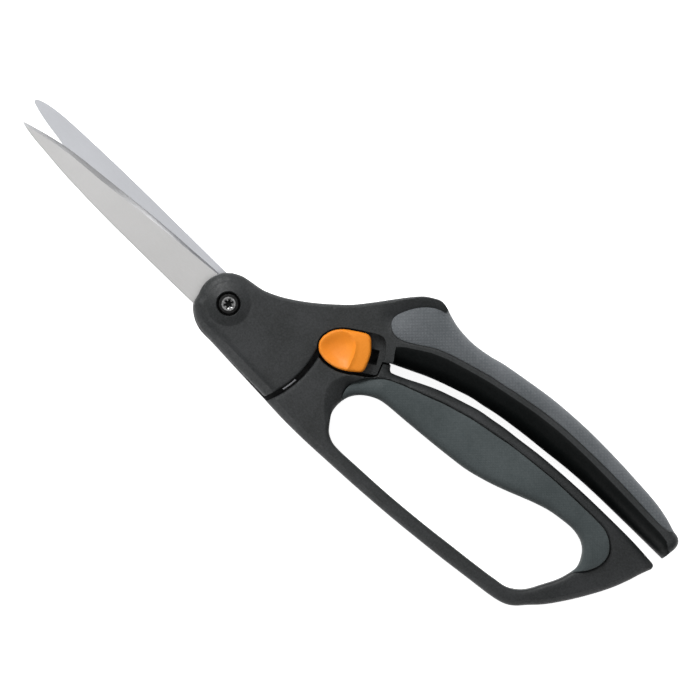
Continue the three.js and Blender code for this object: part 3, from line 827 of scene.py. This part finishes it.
def loop_low_label(middle):
    return np.where(inside(middle, NUT_POCKET), 1, 0)


def loop_low(label, points):
    if label == 1:
        return level(points, -COUNTERBORE_FLOOR)
    edges = rims(points, [
        (BACK_FLOOR, 2.6, 2.2), (NOSE, 2.6, 2.2), (BACK_TOP, 1.8, 1.5), (BACK_END, 0.8, 0.7),
    ])
    return np.max([plate_drop(points), edges, dish_drop(points)], axis=0) - LAND


def loop_handle():
    marks = [
        *open_marks(LOOP_SHELL, arc(PLATE_ARC, -40, 25), BACK_POCKET),
        *closed_marks(NUT_POCKET, circle(DISH + 0.6), circle(DISH - 0.9)),
        (BAND_EDGE, False),
        *open_marks(LOOP_SHELL, loop_crease(), CLEAR_SIDE),
        (resampled([NOTCH[-1], BACK_END[0]], 0.4), False),
    ]
    rings = [
        (BAND_EDGE, False, [0.3, 0.8]),
        (LOOP_OUTER, False, bevel_rows(0.7) + [1.3, 2.0]),
        (RAIL_CORNER, False, bevel_rows(1.2)),
        (GAP_FLOOR, False, bevel_rows(3.0)),
        (NOTCH, False, bevel_rows(0.5)),
        (LOOP_GRIP_EDGE, False, [0.12, 0.3, 0.6, 1.0]),
        (OPENING_FLOOR, False, bevel_rows(1.6)),
        (PLATE_END, False, bevel_rows(0.7)),
        (BACK_FLOOR, False, bevel_rows(2.6)),
        (NOSE, False, bevel_rows(2.6)),
        (BACK_TOP, False, bevel_rows(1.8)),
        (BACK_END, False, bevel_rows(0.8)),
    ]
    sheets = (loop_top_label, loop_top), (loop_low_label, loop_low)
    return layered("loop_handle_shell", [LOOP_SHELL, LOOP_HOLE, circle(BORE)], *sheets, marks, rings)


LOOP_GRIP_LOOP = joined(OPENING_TOP, LOOP_GRIP_EDGE)


def loop_grip_height(label, points):
    inner = off(points, OPENING_TOP)
    seam = off(points, LOOP_GRIP_EDGE)
    front = 2.4 * eased(1 - (points[:, 0] - 47.5) / 9)
    z = GRIP_LAND + 0.2 * eased(seam / 3) - 0.6 * tail_drop(points) - front - rim(inner, 3.2, 3.6)
    return z - rim(seam, 0.45, 0.4)


def loop_grip():
    return pad("loop_grip_pad", LOOP_GRIP_LOOP, loop_grip_height, OPENING_TOP, 3.4, LOOP_GRIP_EDGE)


# ---- blades ----

GROUND_WIDTH = [(0, 1.0), (0.2, 1.25), (0.38, 1.7), (0.56, 1.5), (0.74, 1.2), (0.86, 0.8), (1, 0.5)]


def blade(name, loop, cut, spine, ground, holes, more=()):
    """A ground blade. ground is +1 where the bevel is on the upper face and -1 on the lower.
    It thins towards the tip, and its cutting edge is left 0.15 mm thick."""
    thick = lambda points: BLADE - 0.7 * eased(-(points[:, 0] + 12) / 80)
    width = lambda share: np.interp(share, *zip(*GROUND_WIDTH))

    def flat(label, points):
        return level(points, ground * BLADE_GAP)

    def worked(label, points):
        away, share = nearest(points, cut, False)
        full = thick(points) - 0.04 * np.clip(1 - off(points, spine) / 0.2, 0, 1)
        edge = 0.15 + (full - 0.15) * away / width(share)
        return ground * (BLADE_GAP + np.minimum(full, edge))

    line = beside_line(cut, width(np.linspace(0, 1, len(cut))), loop.mean(0))
    rings = [(cut, False, [0.25, 0.6]), (spine, False, [0.2])]
    sheets = [(one_label, worked), (one_label, flat)][::ground]
    marks = [(clipped(line, loop, 0.12), False)] + [(m, False) for m in more]
    return layered(name, [loop] + holes, *sheets, marks, rings, 1.3, 6)


def front_blade():
    holes = [circle(BORE), joined(arc(5.5, 18, 58, 0.4), arc(7.3, 58, 18, 0.4))]
    return blade("front_blade_ground", FRONT_BLADE_LOOP, FRONT_CUT, FRONT_SPINE, 1, holes)


def back_blade():
    turn = math.radians(50)
    holes = [circle(BORE), circle(0.9, 0.3, (6.4 * math.cos(turn), 6.4 * math.sin(turn)))]
    strip = [clipped(arc(r, -20, 2, 0.5), BACK_BLADE_LOOP, MARK_GAP) for r in TANG_LIT_LINE]
    return blade("back_blade_ground", BACK_BLADE_LOOP, BACK_CUT, BACK_SPINE, -1, holes, strip)


# ---- lock ----

BUTTON_RIDGE = smooth(
    [(29, 15.2), (31.6, 18.4), (34.4, 20.1), (37.2, 20.7), (39.4, 20), (41.2, 18), (42.7, 14.8),
     (43.7, 11.4), (44, 8)], 0.4
)


def button_height(label, points):
    """A thumb dish on the left of a crescent ridge, and a long slope behind the ridge."""
    ridge = off(points, BUTTON_RIDGE)
    edge = nearest(points, BUTTON)[0]
    dish_side = inside(points, np.vstack([BUTTON_RIDGE, [[44, 0], [20, 0], [20, 15]]]))
    dish = 1.5 * (1 - np.exp(-ridge / 2.6)) * (1 - np.exp(-((edge / 2.4) ** 2))) + 0.04 * ridge
    drop = np.where(dish_side, dish, 0.24 * ridge) - 0.22 * np.exp(-((ridge / 0.55) ** 2))
    return BUTTON_TOP - drop - rim(edge, 0.9, 1.1)


def lock_button():
    low = lambda label, points: level(points, POCKET_FLOOR + 0.3)
    marks = [(clipped(BUTTON_RIDGE, BUTTON, 0.3), False)]
    rings = [(BUTTON, True, bevel_rows(1.1) + [1.3, 1.8]), (BUTTON_RIDGE, False, [0.2, 0.45, 0.8, 1.3])]
    sheets = (one_label, button_height), (one_label, low)
    return layered("lock_button_cap", [BUTTON], *sheets, marks, rings, 0.45, 24)


def lock_cover():
    top = lambda label, points: level(points, 1.5 - LAND)
    low = lambda label, points: -LAND + 0.02 + rim(nearest(points, COVER_PLAN)[0], 0.4, 0.35)
    rings = [(COVER_PLAN, True, [0.1, 0.2, 0.4])]
    return layered("lock_cover_plate", [COVER_PLAN], (one_label, top), (one_label, low), (), rings, 0.9)


# ---- turned parts ----


SIDES = 96
ANGLES = np.linspace(0, 2 * math.pi, SIDES, endpoint=False)


def polar(name, rows, low):
    """A body round the pivot axis from rows of (radius as a function of the angle, height), from the
    middle of its top outwards. low is the flat underside."""
    co, polygons = [(0, 0, rows[0][1])], []
    for radius, z in rows:
        r = radius(ANGLES)
        co += list(zip(r * np.cos(ANGLES), r * np.sin(ANGLES), level(ANGLES, z)))
    last = len(co) - SIDES
    co += [(x, y, low) for x, y, _ in co[last:]] + [(0, 0, low)]
    for j in range(SIDES):
        n = (j + 1) % SIDES
        polygons.append([0, 1 + j, 1 + n])
        for k in range(len(rows)):
            a, b = 1 + k * SIDES, 1 + (k + 1) * SIDES
            polygons.append([a + j, b + j, b + n, a + n])
        polygons.append([last + SIDES + n, last + SIDES + j, len(co) - 1])
    return make_mesh(name, np.array(co), polygons)


def pivot_screw():
    """A flat head with a rounded edge and a countersunk six-lobed recess."""
    star = lambda a: 1.5 * (0.85 + 0.15 * np.cos(6 * a))
    even = lambda r: (lambda a: level(a, r))
    mix = lambda share: (lambda a: (1 - share) * star(a) + share * 2.0)
    rows = [
        (lambda a: 0.5 * star(a), -1.9), (lambda a: 0.96 * star(a), -1.8), (star, -0.2), (mix(0.5), -0.1),
        (mix(1.0), -0.03), (even(2.32), 0), (even(2.8), -0.01), (even(3.2), -0.05), (even(3.42), -0.13),
        (even(3.54), -0.26), (even(3.6), -0.45), (even(3.6), -4.2), (even(3.4), -4.4), (even(2.2), -4.4),
        (even(2.2), -16.7), (even(1.9), -17),
    ]
    return polar("pivot_screw_body", [(r, SCREW_TOP + z) for r, z in rows], -7.7)


def pivot_nut():
    """A chamfered hexagon nut over the screw's end."""
    flat, bore, low, high = 3.9, 2.25, -7.25, -4.05
    outer = flat / np.cos(ANGLES % (math.pi / 3) - math.pi / 6)
    cut = np.clip((outer - 3.95) * 0.58, 0, None)
    rows = [
        (bore, high), (bore, low + 0.35), (2.6, low), (np.minimum(outer, flat), low),
        (outer, low + cut + 0.02), (outer, high - cut - 0.02), (np.minimum(outer, flat), high),
    ]
    co = [np.column_stack([r * np.cos(ANGLES), r * np.sin(ANGLES), z + 0 * ANGLES]) for r, z in rows]
    polygons = []
    for k in range(len(rows)):
        a, b = k * SIDES, ((k + 1) % len(rows)) * SIDES
        for j in range(SIDES):
            n = (j + 1) % SIDES
            polygons.append([a + j, a + n, b + n, b + j])
    return make_mesh("pivot_nut_hex", np.vstack(co), polygons)


# ---- materials ----


class Nodes:
    """A short way to write the nodes of a material or of the world."""

    def __init__(self, owner, shader="Principled BSDF", place="Object"):
        owner.use_nodes = True
        self.owner = owner
        self.tree = owner.node_tree
        self.shader = self.tree.nodes[shader]
        self.place = self.tree.nodes.new("ShaderNodeTexCoord").outputs[place]

    def fill(self, node, inputs):
        """Set a node's inputs, each to a plain value on the socket or to another node's output."""
        for key, value in inputs.items():
            if isinstance(value, bpy.types.NodeSocket):
                self.tree.links.new(value, node.inputs[key])
            else:
                node.inputs[key].default_value = value

    def node(self, kind, inputs, **settings):
        made = self.tree.nodes.new(kind)
        for key, value in settings.items():
            setattr(made, key, value)
        self.fill(made, inputs)
        return made

    def surface(self, inputs):
        """Set the shader's inputs, and give back the material or world."""
        self.fill(self.shader, inputs)
        return self.owner

    def noise(self, scale, detail=3.0, stretch=None, rough=0.5):
        source = self.place
        if stretch:
            source = self.node("ShaderNodeMapping", {"Scale": stretch, "Vector": source}).outputs["Vector"]
        inputs = {"Scale": scale, "Detail": detail, "Roughness": rough, "Vector": source}
        return self.node("ShaderNodeTexNoise", inputs).outputs["Fac"]

    def ramp(self, source, stops):
        made = self.node("ShaderNodeValToRGB", {"Fac": source})
        while len(made.color_ramp.elements) < len(stops):
            made.color_ramp.elements.new(0.5)
        for element, (at, colour) in zip(made.color_ramp.elements, stops):
            element.position = at
            element.color = (*colour, 1)
        return made.outputs["Color"]

    def map_range(self, source, low, high, to_low, to_high):
        inputs = {"Value": source, "From Min": low, "From Max": high, "To Min": to_low, "To Max": to_high}
        return self.node("ShaderNodeMapRange", inputs).outputs["Result"]

    def bump(self, height, strength, distance, below=None):
        inputs = {"Strength": strength, "Distance": distance, "Height": height}
        if below is not None:
            inputs["Normal"] = below
        return self.node("ShaderNodeBump", inputs).outputs["Normal"]

    def math(self, operation, *values):
        return self.node("ShaderNodeMath", dict(enumerate(values)), operation=operation).outputs["Value"]

    def blend(self, a, share, b, rest):
        """The sum of two values, each times its share."""
        return self.math("ADD", self.math("MULTIPLY", a, share), self.math("MULTIPLY", b, rest))

    def upward(self, vector):
        return self.node("ShaderNodeSeparateXYZ", {"Vector": vector}).outputs["Z"]


def moulded_plastic(name, dark, light, roughness=(0.42, 0.6), grain=1.0, gloss=0.35):
    """Spark-eroded mould grain, faint cloudy variation and uneven gloss."""
    m = Nodes(bpy.data.materials.new(name))
    speckle = m.blend(m.noise(70, 4), 0.5, m.noise(1700, 2), 0.5)
    fine = m.bump(m.noise(4500, 2), 0.35 * grain, 0.00006)
    return m.surface({
        "Base Color": m.ramp(speckle, [(0.38, dark), (0.62, light)]),
        "Roughness": m.map_range(m.noise(900, 3), 0.3, 0.7, *roughness),
        "Normal": m.bump(m.noise(1900, 3), 0.5 * grain, 0.00012, fine),
        "Specular IOR Level": gloss,
    })


def soft_rubber(name, dark, light, grid, depth):
    """Matt rubber with a fine moulded cross-hatch on its faces, and plain sides."""
    m = Nodes(bpy.data.materials.new(name))
    turned = m.node("ShaderNodeMapping", {"Rotation": (0, 0, math.radians(45)), "Vector": m.place})
    inputs = {"Scale": 2 * math.pi / (20 * grid * MM), "Vector": turned.outputs["Vector"]}
    waves = [
        m.node("ShaderNodeTexWave", inputs, wave_type="BANDS", bands_direction=axis).outputs["Fac"]
        for axis in ("X", "Y")
    ]
    up = m.math("ABSOLUTE", m.upward(m.node("ShaderNodeNewGeometry", {}).outputs["Normal"]))
    hatch = m.math("MULTIPLY", m.math("MULTIPLY", *waves), m.map_range(up, 0.4, 0.85, 0.1, 1))
    cloud = m.blend(m.noise(70, 4), 0.6, m.noise(1500, 2), 0.4)
    shade = m.blend(cloud, 0.8, hatch, 0.2 * depth)
    return m.surface({
        "Base Color": m.ramp(shade, [(0.33, dark), (0.56, light)]),
        "Roughness": m.map_range(m.noise(500, 3), 0.3, 0.7, 0.6, 0.8),
        "Normal": m.bump(m.noise(5000, 2), 0.2, 0.00006, m.bump(hatch, depth, 0.00016)),
        "Specular IOR Level": 0.3,
        "Sheen Weight": 0.12,
        "Sheen Roughness": 0.5,
    })


def ground_steel(name, dark, light, roughness=(0.33, 0.4), streak=(1, 22, 1), bump=0.1):
    """Steel with fine grinding lines across the blade and faint handling marks."""
    m = Nodes(bpy.data.materials.new(name))
    lines = m.noise(900, 3, streak, 0.55)
    tone = m.blend(lines, 0.6, m.noise(45, 4), 0.4)
    return m.surface({
        "Base Color": m.ramp(tone, [(0.35, dark), (0.65, light)]),
        "Metallic": 1.0,
        "Roughness": m.map_range(m.noise(160, 4), 0.3, 0.7, *roughness),
        "Normal": m.bump(lines, bump, 0.00003),
    })


PLASTIC = moulded_plastic("black_moulded_plastic", (0.016, 0.018, 0.018), (0.034, 0.036, 0.038))
PALM_RUBBER = soft_rubber("palm_grip_rubber", (0.094, 0.104, 0.112), (0.14, 0.15, 0.161), 1.0, 0.6)
LOOP_RUBBER = soft_rubber("loop_grip_rubber", (0.05, 0.062, 0.064), (0.075, 0.09, 0.093), 0.8, 0.3)
FRONT_STEEL = ground_steel("front_blade_steel", (0.53, 0.525, 0.52), (0.6, 0.595, 0.592))
BACK_STEEL = ground_steel("back_blade_steel", (0.52, 0.53, 0.555), (0.59, 0.6, 0.63))
BEVEL_STEEL = ground_steel("ground_bevel_steel", (0.5, 0.5, 0.51), (0.6, 0.6, 0.61), (0.25, 0.35), (1, 40, 1))
SCREW_STEEL = ground_steel("screw_steel", (0.35, 0.35, 0.35), (0.5, 0.5, 0.5), (0.25, 0.4), (1, 1, 1))
# Blackened steel for the screw head, bush, washer and spring; on the back blade's tang between the handles
# the same black is painted shade.
BLACKENED_STEEL_AND_SHADE = ground_steel(
    "blackened_steel_and_painted_shade", (0.012, 0.012, 0.012), (0.035, 0.035, 0.035), (0.3, 0.5), (1, 1, 1), 0.3
)
# Painted shade: a near-black, less glossy copy of the handle plastic, put where shade falls: on the palm
# handle's slope into the gap and in the screw's recess.
PAINTED_SHADE_BLACK = moulded_plastic(
    "painted_shade_black", (0.002, 0.003, 0.003), (0.006, 0.007, 0.007), (0.4, 0.52), 0.5, 0.14
)
# Bare steel worn through the black at the countersink, with painted glints: its colour breaks into bright and
# near-black spots.
WORN_GLINT_STEEL = ground_steel(
    "worn_recess_steel_painted_glints", (0.02, 0.02, 0.02), (0.42, 0.42, 0.42), (0.15, 0.3), (2, 2, 2), 0.8
)
ORANGE = moulded_plastic(
    "orange_button_plastic", (0.94, 0.275, 0.014), (1, 0.325, 0.022), (0.42, 0.52), 0.3, 0.4
)

# ---- assembly ----


def dress(piece, material):
    piece.data.materials.clear()
    piece.data.materials.append(material)


def fit(piece, body, slot, material, *nodes):
    """A piece on its body, in place of the CAD nodes that it draws better. The slot argument is not used."""
    dress(piece, material)
    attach(piece, body)
    if nodes:
        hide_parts(*nodes)
    return piece


def second_material(piece, material, chosen):
    """Another material on the faces that a test of (normals, middles in millimetres) chooses."""
    piece.data.materials.append(material)
    count = len(piece.data.polygons)
    normals, middles = np.empty(3 * count), np.empty(3 * count)
    piece.data.polygons.foreach_get("normal", normals)
    piece.data.polygons.foreach_get("center", middles)
    mask = chosen(normals.reshape(-1, 3), (middles.reshape(-1, 3) - PIVOT) / MM)
    index = np.zeros(count, np.int32)
    piece.data.polygons.foreach_get("material_index", index)
    index[mask] = len(piece.data.materials) - 1
    piece.data.polygons.foreach_set("material_index", index)


def slope_shade_faces(normal, middle):
    """The long face along the gap, with the narrow wall between its upper and lower halves, which take the
    painted shade.
    """
    flat = middle[:, :2]
    return inside(flat, SLOPE) | (off(flat, GAP_TOP) < 0.1)


def recess_shade_faces(normal, middle):
    """The bottom and the sides of the screw's recess, painted near-black as shade."""
    return (middle[:, 2] > 5) & (middle[:, 2] < SCREW_TOP - 0.25) & (RADIUS(middle) < 1.6)


def recess_faces(normal, middle):
    """The countersink round the screw's recess, worn to bare steel, with its glints painted in as bright
    spots.
    """
    return (middle[:, 2] > SCREW_TOP - 0.25) & (RADIUS(middle) > 0.9) & (RADIUS(middle) < 2.25)


def tang_painted_shade(normal, middle):
    """The tang between the handles, painted black as shade but for one line left in its steel colour as the
    lit streak.
    """
    radius = RADIUS(middle)
    return (radius > 31) & (middle[:, 0] > 0) & ((radius < TANG_LIT_LINE[0]) | (radius > TANG_LIT_LINE[1]))


shell = fit(palm_handle(), "palm_half", "handle_plastic", PLASTIC, "palm_handle")
# The slope into the gap gets the near-black plastic as painted shade.
second_material(shell, PAINTED_SHADE_BLACK, slope_shade_faces)
fit(palm_grip(), "palm_half", "palm_rubber", PALM_RUBBER, "palm_grip")
ground = fit(front_blade(), "palm_half", "blade_steel", FRONT_STEEL, "front_blade")
second_material(ground, BEVEL_STEEL, lambda normal, middle: (normal[:, 2] > 0.2) & (normal[:, 2] < 0.97))
fit(lock_cover(), "palm_half", "handle_plastic", PLASTIC, "lock_cover")
fit(loop_handle(), "loop_half", "handle_plastic", PLASTIC, "loop_handle")
fit(loop_grip(), "loop_half", "loop_rubber", LOOP_RUBBER, "loop_grip")
ground = fit(back_blade(), "loop_half", "blade_steel", BACK_STEEL, "back_blade")
second_material(ground, BEVEL_STEEL, lambda normal, middle: (normal[:, 2] < -0.2) & (normal[:, 2] > -0.97))
# Painted shade on the tang in the gap, but for one line left as its lit streak.
second_material(ground, BLACKENED_STEEL_AND_SHADE, tang_painted_shade)
fit(lock_button(), "lock", "button_plastic", ORANGE, "lock_button")
head = fit(pivot_screw(), "loop_half", "screw_steel", BLACKENED_STEEL_AND_SHADE, "pivot_screw")
second_material(head, WORN_GLINT_STEEL, recess_faces)
# Painted shade: the recess floor and walls are made near-black.
second_material(head, PAINTED_SHADE_BLACK, recess_shade_faces)
fit(pivot_nut(), "loop_half", "screw_steel", SCREW_STEEL, "pivot_nut")
for node, material in (
    ("pivot_bush", BLACKENED_STEEL_AND_SHADE),
    ("spring_washer", BLACKENED_STEEL_AND_SHADE),
    ("return_spring", BLACKENED_STEEL_AND_SHADE),
    ("lock_slider", PLASTIC),
    ("lock_screw", SCREW_STEEL),
    ("detent_spring", SCREW_STEEL),
):
    dress(frame["nodes"][node], material)

# ---- stage ----

PICTURE = 700
PIXELS_PER_MM = 3.0
VIEW_CENTRE = (39.84, 16.86)
VIEW_PLANE = 5.0
ROLL = 43.75
LENS = 600.0
SENSOR = 36.0
FLOOR_GLOW = 0.88


def floor():
    """A large pale sheet, lit from below like a light table, that the shears lie on."""
    size = 3.0
    data = bpy.data.meshes.new("floor")
    corners = [(-size, -size, 0), (size, -size, 0), (size, size, 0), (-size, size, 0)]
    data.from_pydata(corners, [], [(0, 1, 2, 3)])
    made = placed("floor", data)
    m = Nodes(bpy.data.materials.new("floor_sheet"))
    data.materials.append(m.surface({
        "Base Color": m.ramp(m.noise(3, 3), [(0.3, (0.86, 0.86, 0.86)), (0.7, (0.9, 0.9, 0.9))]),
        "Roughness": 0.8,
        "Emission Color": (1, 1, 1, 1),
        "Emission Strength": FLOOR_GLOW,
    }))
    made.location.z = CAD_BOX[0].z - 0.0002


def camera():
    """Straight down, rolled so that the blades point to the upper left."""
    data = bpy.data.cameras.new("camera")
    data.lens = LENS
    data.sensor_width = SENSOR
    data.clip_end = 20
    made = placed("camera", data)
    width = PICTURE / PIXELS_PER_MM * MM
    x, y, z = to_frame((*VIEW_CENTRE, VIEW_PLANE))
    made.location = (x, y, z + width * LENS / SENSOR)
    made.rotation_euler = (0, 0, math.radians(ROLL))
    bpy.context.scene.camera = made


def softbox(name, right, up, height, size, radiance):
    """A square soft light that faces the shears, placed by the picture's right and up."""
    a = math.radians(ROLL)
    place = Vector((right * math.cos(a) - up * math.sin(a), right * math.sin(a) + up * math.cos(a), height))
    data = bpy.data.lights.new(name, "AREA")
    data.size = size
    data.energy = radiance * math.pi * size * size
    made = placed(name, data)
    made.location = place
    made.rotation_mode = "QUATERNION"
    made.rotation_quaternion = (-place).to_track_quat("-Z", "Y")


def studio_walls():
    """A dim ceiling above paler walls."""
    m = Nodes(bpy.data.worlds.new("world"), "Background", "Generated")
    strength = m.map_range(m.upward(m.place), 0.5, 0.75, 0.32, 0.12)
    bpy.context.scene.world = m.surface({"Color": (1, 1, 1, 1), "Strength": strength})


def lights():
    studio_walls()
    softbox("overhead", 0.0, 0.0, 1.4, 1.2, 0.85)
    softbox("key", -0.5, 0.95, 1.1, 0.7, 12.0)
    softbox("side", 1.3, 1.0, 0.75, 0.9, 1.0)
    softbox("low", -1.1, -0.9, 0.16, 0.3, 9.5)


floor()
camera()
lights()
bpy.context.scene.view_settings.view_transform = "Standard"
